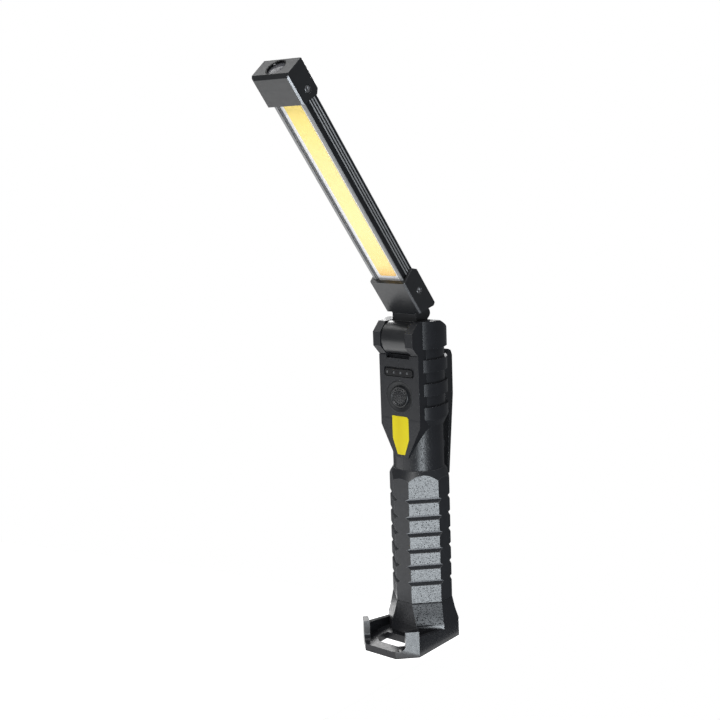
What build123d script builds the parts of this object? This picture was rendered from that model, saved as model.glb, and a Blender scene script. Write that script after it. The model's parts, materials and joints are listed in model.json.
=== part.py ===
"""Folding two-way work light: a hand grip with a cradle foot and a light bar that folds down along it.

Millimetres, +Z up.  The origin is on the handle's axis, on the surface that the foot stands on.
The button side faces -Y.  The light bar is built upright above its hinge, as (x, t, s) with t behind
the hinge and s along the bar, and is then tilted forward about the hinge.
"""
import os
from math import cos, pi, radians, sin, sqrt, tan

from build123d import *

# ---------------------------------------------------------------- driving dimensions
TILT = 38.5                  # rest tilt of the light bar, forward from upright, degrees
HINGE_Y = -13.3
HINGE_Z = 202.8

BODY_R = 20.3                # large bands of the upper body
BAND_R = 18.5                # recessed bands
BAND_ZONES = [(189.0, 196.0), (173.5, 181.0), (158.3, 165.6)]
BODY_LOW_Z = 151.0
NECK_R = 16.7
NECK_TOP_Z = 144.0
NECK_LOW_Z = 108.0
CORE_R = 15.0                # the shells' core inside the grip sleeve
CORE_LOW_Z = 20.2
WALL = 2.2

BLOCK_HALF = 15.6            # front block that carries the button
FACE_Y = -18.4
BLOCK_BACK_Y = -8.0
SHIELD_CORNER_Z = 146.0
SHIELD_TIP_Z = 125.0
SHIELD_TIP_HALF = 5.1
EAR_IN = 9.9                 # inner faces of the hinge ears
EAR_FLATS = 21.65            # ears are regular octagons
BODY_TOP_Z = HINGE_Z + EAR_FLATS / 2
TOP_SLOPE = 0.5
TOP_SLOPE_Y = -0.4
SEAM = 0.05                  # half of the joint line between the two shells

BARREL_R = 10.5
BARREL_HALF = 9.3
AXLE_R = 3.0
RUNNING = 0.03               # radial clearance of a pin in its bore
SEAT = 0.05                  # clearance round a piece that is pressed or glued in

GRIP_HALF = 20.0             # grip octagon, half across flats
GRIP_CORNER = 13.9
SLEEVE_LOW_Z = 27.4
SHOULDER_Z = 116.0
SHOULDER_R = 17.0
SHOULDER_STEEP = 1.64
GROOVE_TOPS = [98.5, 87.0, 76.0, 64.9, 53.8, 42.7]
GROOVE_H = 3.5
GROOVE_D = 2.2
GROOVE_DROP = 1.6            # from a groove's top edge down to its deepest line

FOOT_HALF = 23.4
FOOT_FRONT_Y = -46.9
FOOT_CHAMFER = 10.94
FOOT_FLOOR = 4.7
FOOT_WALL = 3.2
PRONG_Z = 17.4
PRONG_LENGTH = 8.8
PRONG_WALL = 4.0
PRONG_FILLET = 4.4
SKIRT_Z = 12.4               # top of the straight skirt, bottom of the flare
WEB_Z = 17.0                 # web of the foot that the shells stand on

BUTTON_Z = 165.0
BUTTON_R = 6.9
BUTTON_FLANGE_R = 8.2
BEZEL_R = 10.6
BOARD_FRONT_Y = -12.2
BOARD_T = 1.6
DOT_Z = 180.7
DOT_X = [-9.95, -4.65, 0.65, 5.95]

CELL_R = 9.2                 # 18650 cell
CELL_LOW_Z = 34.0
CELL_LENGTH = 65.0

CLIP_HALF = 9.0
CLIP_PIN_Y = 23.2
CLIP_PIN_Z = 175.0
CLIP_PIN_R = 1.25

PORT_Z = 12.2
PORT_FACE_Y = 21.0
FLAP_AXIS_X = -7.9           # the flap's hinge bead, along Z
FLAP_AXIS_Y = 23.3
FLAP_BEAD_R = 0.9

CAP_HALF = 13.7
CAP_T0 = 11.0
CAP_T1 = 27.6
BAR_HALF = 11.75
BAR_T0 = 13.7
BAR_T1 = 25.7
FIN_TS = [18.4, 20.5, 22.6]  # fronts of the fins on the bar's sides
FIN_T = 0.75
FIN_EDGE = 0.4
FIN_DEPTH = 1.2
BAR_S0 = 15.2
BAR_S1 = 184.8
TORCH_T = 19.3
TORCH_R = 6.5
TORCH_LENS_S = 192.7         # back of the torch's lens
TIP_S = 195.5
SCREW_R = 1.25
HEAD_R = 2.3
POST_SEAM = 62.0             # direction of the seam line of every round wall along Z, degrees from +X


# ---------------------------------------------------------------- helpers
def block(x0, x1, y0, y1, z0, z1):
    """A box given by its six faces."""
    centre = Pos((x0 + x1) / 2, (y0 + y1) / 2, (z0 + z1) / 2)
    return centre * Box(x1 - x0, y1 - y0, z1 - z0)


def post(x, y, z0, z1, radius):
    """A cylinder along Z, with its seam turned clear of the screw bosses."""
    return Pos(x, y, (z0 + z1) / 2) * Rot(0, 0, POST_SEAM) * Cylinder(radius, z1 - z0)


def rod_x(x0, x1, y, z, radius):
    """A cylinder along X."""
    return Pos((x0 + x1) / 2, y, z) * Rot(0, 90, 0) * Cylinder(radius, x1 - x0)


def rod_y(y0, y1, x, z, radius):
    """A cylinder along Y."""
    return Pos(x, (y0 + y1) / 2, z) * Rot(90, 0, 0) * Cylinder(radius, y1 - y0)


def plate_z(points, z0, z1):
    """An outline in XY, raised from z0 to z1."""
    return Pos(0, 0, z0) * extrude(make_face(Polyline(*points, close=True)), z1 - z0)


def plate_x(points, x0, x1):
    """An outline of (y, z) points, running from x0 to x1."""
    outline = Polyline(*[(x0, y, z) for y, z in points], close=True)
    return extrude(make_face(outline), x1 - x0, dir=(1, 0, 0))


def plate_y(points, y0, y1):
    """An outline of (x, z) points, running from y0 to y1."""
    outline = Polyline(*[(x, y0, z) for x, z in points], close=True)
    return extrude(make_face(outline), y1 - y0, dir=(0, 1, 0))


def octagon(half, front, rear, front_leg, rear_leg):
    """An eight-sided outline with 45 degree corners, in XY."""
    right = [(half - rear_leg, rear), (half, rear - rear_leg),
             (half, front + front_leg), (half - front_leg, front)]
    return right + [(-x, y) for x, y in reversed(right)]


def solids(*shapes):
    """Separate solids kept together in one node."""
    parts = []
    for shape in shapes:
        parts.extend(shape.solids())
    return Compound(children=parts)


def in_head(shape):
    """Places a shape drawn upright above the hinge at the light bar's rest tilt."""
    return Pos(0, HINGE_Y, HINGE_Z) * Rot(TILT, 0, 0) * shape


# ---------------------------------------------------------------- handle shells
SHELL_SCREWS = [(8.5, 193.0), (11.0, 155.0), (8.6, 130.0), (0.0, 104.5), (0.0, 27.5)]
SCREW_SEAT_X = -9.0
BOSS_R = 3.3
FOOT_SCREWS = [(x, y) for x in (-8.2, 8.2) for y in (-8.2, 8.2)]


def ear_outline():
    """Octagon round the hinge axis, as (y, z) points."""
    apothem = EAR_FLATS / 2
    leg = apothem * tan(pi / 8)
    corners = [(apothem, leg), (leg, apothem), (-leg, apothem), (-apothem, leg),
               (-apothem, -leg), (-leg, -apothem), (leg, -apothem), (apothem, -leg)]
    return [(HINGE_Y + y, HINGE_Z + z) for y, z in corners]


def handle_outside():
    """The handle's outer shape, before it is hollowed and split."""
    body = post(0, 0, BODY_LOW_Z, BODY_TOP_Z, BODY_R)
    for low, high in BAND_ZONES:
        body -= post(0, 0, low, high, BODY_R + 1) - post(0, 0, low, high, BAND_R)
    taper = Pos(0, 0, (NECK_TOP_Z + BODY_LOW_Z) / 2) * Cone(NECK_R, BODY_R, BODY_LOW_Z - NECK_TOP_Z)
    body += taper
    body += post(0, 0, NECK_LOW_Z, NECK_TOP_Z, NECK_R)
    body += post(0, 0, CORE_LOW_Z, NECK_LOW_Z, CORE_R)
    body -= block(-BODY_R, BODY_R, -2 * BODY_R, FACE_Y, CORE_LOW_Z, BODY_TOP_Z)

    ear_low = HINGE_Z - EAR_FLATS / 2
    shield = [(-SHIELD_TIP_HALF, SHIELD_TIP_Z), (SHIELD_TIP_HALF, SHIELD_TIP_Z),
              (BLOCK_HALF, SHIELD_CORNER_Z), (BLOCK_HALF, ear_low),
              (-BLOCK_HALF, ear_low), (-BLOCK_HALF, SHIELD_CORNER_Z)]
    body += plate_y(shield, FACE_Y, BLOCK_BACK_Y)
    body += plate_x(ear_outline(), -BLOCK_HALF, BLOCK_HALF)
    body += block(-BLOCK_HALF, BLOCK_HALF, HINGE_Y, BLOCK_BACK_Y, ear_low - 1, BODY_TOP_Z)

    rear = BODY_R + 1
    drop = TOP_SLOPE * (rear - TOP_SLOPE_Y)
    slope = [(TOP_SLOPE_Y, BODY_TOP_Z), (rear, BODY_TOP_Z - drop), (rear, BODY_TOP_Z + 1),
             (TOP_SLOPE_Y, BODY_TOP_Z + 1)]
    return body - plate_x(slope, -rear, rear)


def hinge_room():
    """Space between the ears for the knuckle: its barrel, and its arm when the bar is upright."""
    clearance = 0.4
    seat = rod_x(-EAR_IN, EAR_IN, HINGE_Y, HINGE_Z, BARREL_R + clearance)
    ear_low = HINGE_Z - EAR_FLATS / 2
    front = block(-EAR_IN, EAR_IN, HINGE_Y - EAR_FLATS, HINGE_Y, ear_low, BODY_TOP_Z + 1)
    arm_reach = HINGE_Y + 23.5 + clearance
    arm_floor = HINGE_Z - 0.7 - clearance
    arm = block(-EAR_IN, EAR_IN, HINGE_Y, arm_reach, arm_floor, BODY_TOP_Z + 1)
    slot = block(-EAR_IN, 8.6, FACE_Y - 1, FACE_Y + 3.4, ear_low - 2.0, ear_low + 0.5)
    return seat + front + arm + slot


def handle_cavity():
    """The hollow that holds the cell and the electronics."""
    roof = 187.5
    room = post(0, 0, BODY_LOW_Z, roof, BAND_R - WALL + 0.4)
    room += block(-BLOCK_HALF + WALL, BLOCK_HALF - WALL, FACE_Y + WALL, 0, BODY_LOW_Z, roof)
    tip = [(-2.6, 129.0), (2.6, 129.0), (12.6, 147.5), (12.6, BODY_LOW_Z + 1),
           (-12.6, BODY_LOW_Z + 1), (-12.6, 147.5)]
    room += plate_y(tip, FACE_Y + WALL, -6.0)
    attic = post(0, 0, roof - 1, 198.5, BAND_R - WALL + 0.4)
    room += attic & block(-20, 20, 0.8, 20, roof - 1, 198.5)
    room += post(0, 0, NECK_LOW_Z + 4, BODY_LOW_Z, NECK_R - WALL)
    room += post(0, 0, CORE_LOW_Z + 2.6, NECK_LOW_Z + 4, CORE_R - WALL)
    return room


def handle_ribs():
    """Rings that hold the cell, walls at both its ends, and the screw bosses."""
    inner = CORE_R - WALL + 0.5
    rib_t = 1.6
    ribs = post(0, 0, CELL_LOW_Z - 4.6, CELL_LOW_Z - 3.0, inner)
    ribs += post(0, 0, 100.8, 102.2, inner)
    for z in (40.0, 66.0, 92.0):
        ribs += post(0, 0, z, z + rib_t, inner) - post(0, 0, z, z + rib_t, CELL_R + 0.15)
    wire_gap = 4.0
    ribs -= block(-wire_gap / 2, wire_gap / 2, 9.0, 12.0, CELL_LOW_Z - 5, 103)
    for y, z in SHELL_SCREWS:
        outer = BAND_R if z > BODY_LOW_Z else (NECK_R if z > NECK_LOW_Z else CORE_R)
        reach = sqrt(outer ** 2 - y ** 2) - 1.0
        ribs += rod_x(-reach, reach, y, z, BOSS_R)
    for x, y in FOOT_SCREWS:
        ribs += post(x, y, CORE_LOW_Z + 0.5, CORE_LOW_Z + 9.4, 2.4)
    return ribs & post(0, 0, CORE_LOW_Z, BODY_TOP_Z, BAND_R - 0.5)


def handle_cuts():
    """Holes through the shells for the button, indicator, label, axle, clip and screws."""
    cuts = rod_y(FACE_Y - 1, FACE_Y + 1.0, 0, BUTTON_Z, BEZEL_R + SEAT)
    cuts += rod_y(FACE_Y - 1, FACE_Y + WALL + 1, 0, BUTTON_Z, BUTTON_R + 0.15)
    window = block(-12, 12, FACE_Y - 1, FACE_Y + 1.5, 178.0, 184.4)
    cuts += fillet(window.edges().filter_by(Axis.Y), 2.0)
    for x in DOT_X:
        cuts += rod_y(FACE_Y - 1, FACE_Y + WALL + 1, x, DOT_Z, 0.75)
    cuts += label_outline(0.1, FACE_Y - 1, FACE_Y + 0.2)
    cuts += rod_x(-14.6, 14.6, HINGE_Y, HINGE_Z, AXLE_R + 0.01)
    cuts += block(-6.3, 6.3, 17.8, BODY_R + 1, 164.2, 185.8)
    for z in (169.0, 181.5):
        cuts += rod_y(12, BODY_R + 1, 0, z, SCREW_R + 0.02)
    for y, z in SHELL_SCREWS:
        cuts += rod_x(-30, SCREW_SEAT_X, y, z, HEAD_R + 0.3)
        cuts += rod_x(SCREW_SEAT_X - 1, -SEAM, y, z, SCREW_R + 0.2)
        cuts += rod_x(-SEAM, 6.5, y, z, SCREW_R + 0.02)
    for x, y in FOOT_SCREWS:
        cuts += post(x, y, CORE_LOW_Z - 1, 29.0, SCREW_R + 0.02)
    return cuts


def handle_shells():
    """The two halves of the handle, parted on the plane x = 0."""
    body = handle_outside() - handle_cavity()
    body += handle_ribs()
    body -= hinge_room()
    body -= handle_cuts()
    left = body & block(-40, -SEAM, -60, 60, -1, 230)
    right = body & block(SEAM, 40, -60, 60, -1, 230)
    return left, right


def shell_screws():
    """Screws that pull the right shell onto the left one."""
    screws = []
    for y, z in SHELL_SCREWS:
        screw = rod_x(SCREW_SEAT_X, 6.0, y, z, SCREW_R) + rod_x(SCREW_SEAT_X - 1.7, SCREW_SEAT_X, y, z, HEAD_R)
        screw -= rod_x(SCREW_SEAT_X - 2, SCREW_SEAT_X - 0.7, y, z, 0.9)
        screws.append(screw)
    return solids(*screws)


# ---------------------------------------------------------------- button, indicator, label
def label_outline(grow, y0, y1):
    """The tapered label, or its recess when grown a little."""
    half = 6.5 + grow
    top = 152.3 + grow
    low = 127.0 - grow
    points = [(-half, top), (5.3 + grow, top), (half, 151.1), (half, 137.5),
              (2.9 + grow, low), (-2.9 - grow, low), (-half, 137.5)]
    return plate_y(points, y0, y1)


def button_bezel():
    """Dished ring round the button."""
    y = FACE_Y
    profile = Polyline((7.4, y + 1.0), (BEZEL_R, y + 1.0), (BEZEL_R, y), (10.2, y - 0.2),
                       (9.4, y - 0.1), (8.3, y + 0.5), (7.4, y + 0.7), close=True)
    ring = revolve(make_face(profile), Axis.Y, 360)
    return Pos(0, 0, BUTTON_Z) * ring


def power_button():
    """Soft button with a domed face, a flange behind the wall and a pusher in its middle."""
    crown = FACE_Y - 1.0
    inside = FACE_Y + WALL
    dome_r = 40.0
    dome = Pos(0, crown + dome_r, BUTTON_Z) * Sphere(dome_r)
    cap = rod_y(crown - 1, inside + 0.05, 0, BUTTON_Z, BUTTON_R) & dome
    flange = rod_y(inside + 0.05, inside + 0.75, 0, BUTTON_Z, BUTTON_FLANGE_R)
    hollow = rod_y(inside - 0.9, inside + 1, 0, BUTTON_Z, 5.2)
    pusher = rod_y(inside - 1.0, inside + 0.2, 0, BUTTON_Z, 1.9)
    return cap + flange - hollow + pusher


def switch_body():
    """Tactile switch under the button."""
    body = block(-3, 3, BOARD_FRONT_Y - 2.8, BOARD_FRONT_Y, BUTTON_Z - 3, BUTTON_Z + 3)
    return body - rod_y(BOARD_FRONT_Y - 3, BOARD_FRONT_Y - 1.2, 0, BUTTON_Z, 1.7)


def switch_plunger():
    """Plunger that the button pushes."""
    tip = FACE_Y + WALL + 0.25
    return rod_y(tip, BOARD_FRONT_Y - 2.2, 0, BUTTON_Z, 1.65)


def main_board():
    """Circuit board behind the button, narrow where it reaches into the neck."""
    points = [(-7.4, 137), (7.4, 137), (7.4, 149), (12, 153), (12, 186.5),
              (-12, 186.5), (-12, 153), (-7.4, 149)]
    return plate_y(points, BOARD_FRONT_Y, BOARD_FRONT_Y + BOARD_T)


def board_parts():
    """Charger chip, driver chip, coil and capacitors on the board."""
    front = BOARD_FRONT_Y
    rear = BOARD_FRONT_Y + BOARD_T
    chips = [block(-3, 2, front - 1.0, front, 143, 148), block(3.6, 7.0, front - 0.9, front, 147, 151)]
    coil = rod_y(rear, rear + 2.6, -4, 172, 3.2)
    driver = block(1.5, 7.5, rear, rear + 1.2, 168, 174)
    caps = [block(x, x + 2, front - 0.8, front, 139, 140.4) for x in (-5, -1.5, 2)]
    return solids(*chips, coil, driver, *caps)


def charge_leds():
    """Four small lamps behind the indicator."""
    lamps = [block(x - 0.8, x + 0.8, BOARD_FRONT_Y - 0.7, BOARD_FRONT_Y, DOT_Z - 0.5, DOT_Z + 0.5)
             for x in DOT_X]
    return solids(*lamps)


def indicator_window():
    """Smoked window with one light pipe for each lamp."""
    pane = block(-11.8, 10.2, FACE_Y + 0.5, FACE_Y + 1.45, 178.2, 183.0)
    pane = fillet(pane.edges().filter_by(Axis.Y), 1.6)
    for x in DOT_X:
        pane += rod_y(FACE_Y + 1.4, BOARD_FRONT_Y - 1.0, x, DOT_Z, 0.6)
    return pane


# ---------------------------------------------------------------- cell
def battery_cell():
    """One cylindrical cell with its button top."""
    top = CELL_LOW_Z + CELL_LENGTH
    can = post(0, 0, CELL_LOW_Z, top, CELL_R)
    can = fillet(can.edges().filter_by(GeomType.CIRCLE), 0.6)
    groove = post(0, 0, top - 3.6, top - 2.4, CELL_R + 1) - post(0, 0, top - 3.6, top - 2.4, CELL_R - 0.5)
    return can - groove + post(0, 0, top, top + 0.9, 2.9)


def battery_contact():
    """Spring plate on the cell's button top."""
    z = CELL_LOW_Z + CELL_LENGTH + 0.95
    return post(0, 0, z, z + 0.4, 6.0) + block(4, 5, -2, 2, z + 0.4, z + 0.8)


def battery_spring():
    """Conical spring under the cell."""
    low = CELL_LOW_Z - 2.9
    wire = 0.4
    coil = Helix(pitch=0.75, height=1.5, radius=5.5, cone_angle=-30)
    coil = Pos(0, 0, low + 0.5 + wire) * coil
    section = Plane(origin=coil @ 0, z_dir=coil % 0) * Circle(wire)
    plate = post(0, 0, low, low + 0.4, 6.6)
    return solids(plate, sweep(section, path=coil))


# ---------------------------------------------------------------- grip sleeve
def grip_sleeve():
    """Octagonal soft grip with an arched shoulder and V grooves across its four corner faces."""
    outline = octagon(GRIP_HALF, -GRIP_HALF, GRIP_HALF, GRIP_CORNER, GRIP_CORNER)
    sleeve = plate_z(outline, SLEEVE_LOW_Z, SHOULDER_Z)
    reach = GRIP_HALF + 10
    low_r = SHOULDER_R + (SHOULDER_Z - SLEEVE_LOW_Z) / SHOULDER_STEEP
    shoulder = Cone(low_r, SHOULDER_R, SHOULDER_Z - SLEEVE_LOW_Z)
    sleeve &= Pos(0, 0, (SHOULDER_Z + SLEEVE_LOW_Z) / 2) * shoulder
    face = (2 * GRIP_HALF - GRIP_CORNER) / sqrt(2)
    for top in GROOVE_TOPS:
        notch = [(reach, top), (face, top), (face - GROOVE_D, top - GROOVE_DROP),
                 (face, top - GROOVE_H), (reach, top - GROOVE_H)]
        cut = plate_x(notch, -reach, reach)
        for turn in (45, 135, 225, 315):
            sleeve -= Rot(0, 0, turn) * cut
    sleeve -= post(0, 0, 0, NECK_LOW_Z, CORE_R + SEAT)
    return sleeve - post(0, 0, NECK_LOW_Z - 0.01, SHOULDER_Z + 1, NECK_R + SEAT)


# ---------------------------------------------------------------- foot
def foot_outline(inset):
    """The cradle foot seen from above, inset evenly."""
    half = FOOT_HALF - inset
    shift = inset * tan(pi / 8)
    rear_leg = 15.05
    front = FOOT_FRONT_Y + inset
    corner_x = FOOT_HALF - FOOT_CHAMFER - shift
    corner_y = FOOT_FRONT_Y + FOOT_CHAMFER + shift
    return [(-half, FOOT_HALF - rear_leg), (-half, corner_y), (-corner_x, front),
            (corner_x, front), (half, corner_y), (half, FOOT_HALF - rear_leg)]


def prong():
    """One corner of the cradle: a raised tab with a fillet down to the low front edge."""
    length = FOOT_CHAMFER * sqrt(2)
    end = PRONG_LENGTH + PRONG_FILLET
    rise = FOOT_FLOOR + PRONG_FILLET
    middle = (end - PRONG_FILLET * sin(pi / 4), rise - PRONG_FILLET * cos(pi / 4))
    outline = Polyline((length, FOOT_FLOOR), (length, 0), (0, 0), (0, PRONG_Z),
                       (PRONG_LENGTH, PRONG_Z), (PRONG_LENGTH, rise))
    outline += ThreePointArc((PRONG_LENGTH, rise), middle, (end, FOOT_FLOOR))
    outline += Line((end, FOOT_FLOOR), (length, FOOT_FLOOR))
    corner = Plane(origin=(FOOT_HALF, FOOT_FRONT_Y + FOOT_CHAMFER, 0),
                   x_dir=(-1, -1, 0), z_dir=(-1, 1, 0))
    face = corner * make_face(outline)
    return extrude(face, PRONG_WALL, dir=(-1, 1, 0))


def foot_flare():
    """The skirt and the flare that carry the grip's eight sides out to the foot."""
    levels = [
        (0.0, octagon(FOOT_HALF, -21.0, FOOT_HALF, 12.9, 15.05)),
        (SKIRT_Z, octagon(23.2, -21.0, 23.2, 12.8, 14.7)),
        (19.6, octagon(21.4, -20.4, 21.4, 13.4, 14.3)),
        (SLEEVE_LOW_Z - 0.2, octagon(20.1, -20.05, 20.1, 13.9, 13.9)),
    ]
    faces = [Pos(0, 0, z) * make_face(Polyline(*points, close=True)) for z, points in levels]
    flare = loft(faces[0:2], ruled=True)
    flare += loft(faces[1:3], ruled=True)
    return flare + loft(faces[2:4], ruled=True)


def foot_cradle():
    """Foot: cradle for the folded bar's tip, floor window, flare and the room for the base."""
    floor = plate_z(foot_outline(0), 0, FOOT_FLOOR)
    rim = plate_z(foot_outline(0), 0, PRONG_Z) - plate_z(foot_outline(FOOT_WALL), -1, PRONG_Z + 1)
    walls = [(FOOT_FRONT_Y + FOOT_CHAMFER, 0), (FOOT_FRONT_Y + FOOT_CHAMFER, 13.5),
             (-7.0, 9.2), (-7.0, 0)]
    rim &= plate_x(walls, -FOOT_HALF, FOOT_HALF)
    foot = floor + rim + foot_flare()
    right_prong = prong()
    foot += right_prong
    foot += mirror(right_prong, Plane.YZ)

    window = [(-7.8, -38.4), (7.8, -38.4), (13.0, -33.2), (13.0, -23.4), (-13.0, -23.4), (-13.0, -33.2)]
    foot -= plate_z(window, -1, FOOT_FLOOR + 1)
    foot -= plate_z(octagon(19.0, -18.3, 19.0, 12.9, 12.9), -1, 2.0)
    foot -= plate_z(octagon(18.2, -17.5, 18.2, 12.5, 12.5), 1, WEB_Z)
    foot += base_posts()
    foot -= post(0, 0, CORE_LOW_Z - 0.1, 40, CORE_R + SEAT)
    foot -= post(0, 0, WEB_Z - 1, CORE_LOW_Z + 1, 4.0)
    for x, y in FOOT_SCREWS:
        foot -= post(x, y, WEB_Z - 1, CORE_LOW_Z + 1, SCREW_R + 0.2)
    for x, y in COVER_SCREWS:
        foot -= post(x, y, 0, 9.0, SCREW_R + 0.02)
    foot -= block(-8.0, 8.0, PORT_FACE_Y, 30, PORT_Z - 5.5, PORT_Z + 5.5)
    foot -= block(-4.75, 4.75, 10, 30, PORT_Z - 1.9, PORT_Z + 1.9)
    foot -= post(FLAP_AXIS_X, FLAP_AXIS_Y, PORT_Z - 4.2, PORT_Z + 4.2, FLAP_BEAD_R + 0.15)
    return foot


COVER_SCREWS = [(x, y) for x in (-13.6, 13.6) for y in (-5.5, 5.5)]


def base_posts():
    """Posts that take the cover's screws."""
    posts = post(COVER_SCREWS[0][0], COVER_SCREWS[0][1], 2.0, WEB_Z, 2.5)
    for x, y in COVER_SCREWS[1:]:
        posts += post(x, y, 2.0, WEB_Z, 2.5)
    return posts


def foot_screws():
    """Screws from the web up into the shells."""
    screws = []
    for x, y in FOOT_SCREWS:
        head = post(x, y, WEB_Z - 1.6, WEB_Z, HEAD_R) - post(x, y, WEB_Z - 2, WEB_Z - 1.0, 0.9)
        screws.append(head + post(x, y, WEB_Z, 28.5, SCREW_R))
    return solids(*screws)


def base_cover():
    """Plate that closes the foot from below."""
    cover = plate_z(octagon(18.9, -18.2, 18.9, 12.9, 12.9), 0, 1.95)
    for x, y in COVER_SCREWS:
        cover -= post(x, y, -1, 3, SCREW_R + 0.2)
        cover -= post(x, y, -1, 1.2, HEAD_R + 0.2)
    return cover


def base_cover_screws():
    """Screws of the base plate, sunk below its face."""
    screws = []
    for x, y in COVER_SCREWS:
        head = post(x, y, 0.2, 1.2, HEAD_R) - post(x, y, 0, 0.7, 0.9)
        screws.append(head + post(x, y, 1.2, 8.5, SCREW_R))
    return solids(*screws)


def charge_board():
    """Small board that carries the charging socket."""
    outline = [(-10.5, 6.0), (10.5, 6.0), (10.5, 13.0), (5.7, 17.8), (-5.7, 17.8), (-10.5, 13.0)]
    board = plate_z(outline, PORT_Z - 3.2, PORT_Z - 1.65)
    for x, y in COVER_SCREWS:
        board -= post(x, y, 0, WEB_Z, 2.8)
    return board


def charge_port():
    """Charging socket: a thin oval can with its tongue."""
    half_w, half_h = 4.5, 1.6
    can = block(-half_w, half_w, 13.6, 20.9, PORT_Z - half_h, PORT_Z + half_h)
    can = fillet(can.edges().filter_by(Axis.Y), 1.5)
    mouth = block(-half_w + 0.3, half_w - 0.3, 14.6, 22, PORT_Z - half_h + 0.3, PORT_Z + half_h - 0.3)
    can -= fillet(mouth.edges().filter_by(Axis.Y), 1.2)
    return can + block(-3.3, 3.3, 14.0, 18.6, PORT_Z - 0.35, PORT_Z + 0.35)


def port_cover():
    """Rubber flap over the charging socket."""
    flap = block(-7.7, 7.7, PORT_FACE_Y + 0.2, PORT_FACE_Y + 2.1, PORT_Z - 5.2, PORT_Z + 5.2)
    flap = fillet(flap.edges().filter_by(Axis.Y), 1.5)
    plug = block(-3.7, 3.7, PORT_FACE_Y - 1.0, PORT_FACE_Y + 0.3, PORT_Z - 0.9, PORT_Z + 0.9)
    plug = fillet(plug.edges().filter_by(Axis.Y), 0.8)
    lift = block(6.2, 7.0, PORT_FACE_Y + 2.0, PORT_FACE_Y + 2.5, PORT_Z - 2.5, PORT_Z + 2.5)
    bead = post(FLAP_AXIS_X, FLAP_AXIS_Y, PORT_Z - 4.0, PORT_Z + 4.0, FLAP_BEAD_R)
    return flap + plug + lift + bead


# ---------------------------------------------------------------- belt clip
def clip_base():
    """Bracket on the back of the handle that carries the clip's pin."""
    base = block(-6.2, 6.2, 17.85, 20.4, 164.4, 185.6)
    for x0, x1 in ((-6.2, -3.8), (3.8, 6.2)):
        lug = rod_x(x0, x1, CLIP_PIN_Y, CLIP_PIN_Z, 2.5)
        lug += block(x0, x1, 20.0, CLIP_PIN_Y, CLIP_PIN_Z - 2.5, CLIP_PIN_Z + 2.5)
        base += lug
    base -= rod_x(-7, 7, CLIP_PIN_Y, CLIP_PIN_Z, CLIP_PIN_R + 0.005)
    for z in (169.0, 181.5):
        base -= rod_y(17, 22, 0, z, SCREW_R + 0.2)
        base -= rod_y(18.9, 22, 0, z, HEAD_R + 0.2)
    return base


def clip_base_screws():
    """Two screws of the clip's bracket."""
    screws = []
    for z in (169.0, 181.5):
        head = rod_y(18.9, 20.3, 0, z, HEAD_R) - rod_y(19.6, 21, 0, z, 0.9)
        screws.append(head + rod_y(14.2, 18.9, 0, z, SCREW_R))
    return solids(*screws)


def clip_arm():
    """Sprung clip: a press tab with two cheeks, and a strip down to the grip's shoulder."""
    outside = [(24.0, 190.6), (26.6, 189.4), (28.0, 186.2), (28.0, 160.0), (22.1, 107.6),
               (21.6, 106.8), (21.0, 107.0), (20.35, 111.5), (20.9, 120.0), (23.3, 150.0),
               (25.9, 160.0), (26.1, 163.0), (26.1, 185.4), (25.2, 187.6), (23.2, 189.0)]
    arm = plate_x(outside, -CLIP_HALF, CLIP_HALF)
    cheek = [(27.0, 188.6), (23.2, 189.0), (21.4, 184.0), (19.7, 175.0), (19.7, 158.0),
             (21.5, 152.0), (25.0, 151.0), (27.0, 159.0)]
    cheek_t = 1.7
    for x0 in (-CLIP_HALF, CLIP_HALF - cheek_t):
        arm += plate_x(cheek, x0, x0 + cheek_t)
    arm -= rod_x(-8.4, 8.4, CLIP_PIN_Y, CLIP_PIN_Z, CLIP_PIN_R + RUNNING)
    ribs = [block(-6.5, 6.5, 27.75, 28.2, z, z + 1.2) for z in (178.0, 181.0, 184.0)]
    for rib in ribs:
        arm -= rib
    return arm


def clip_pin():
    """Pivot pin of the clip."""
    return rod_x(-8.3, 8.3, CLIP_PIN_Y, CLIP_PIN_Z, CLIP_PIN_R)


def clip_spring():
    """Torsion spring round the clip's pin, with one leg on the bracket."""
    wire = 0.4
    coil = Helix(pitch=1.0, height=5.0, radius=1.85)
    section = Plane(origin=coil @ 0, z_dir=coil % 0) * Circle(wire)
    turns = Pos(-2.5, CLIP_PIN_Y, CLIP_PIN_Z) * Rot(0, 90, 0) * sweep(section, path=coil)
    return turns


# ---------------------------------------------------------------- hinge and light bar
def hinge_axle():
    """Axle held in blind bores of both ears."""
    axle = rod_x(-14.4, 14.4, HINGE_Y, HINGE_Z, AXLE_R)
    return chamfer(axle.edges().filter_by(GeomType.CIRCLE), 0.4)


def hinge_washers():
    """Friction washers between the knuckle and the ears."""
    washers = []
    for x0 in (-EAR_IN + 0.03, BARREL_HALF + 0.03):
        ring = rod_x(x0, x0 + 0.54, HINGE_Y, HINGE_Z, 7.8)
        washers.append(ring - rod_x(x0 - 1, x0 + 2, HINGE_Y, HINGE_Z, AXLE_R + 0.1))
    return solids(*washers)


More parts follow.
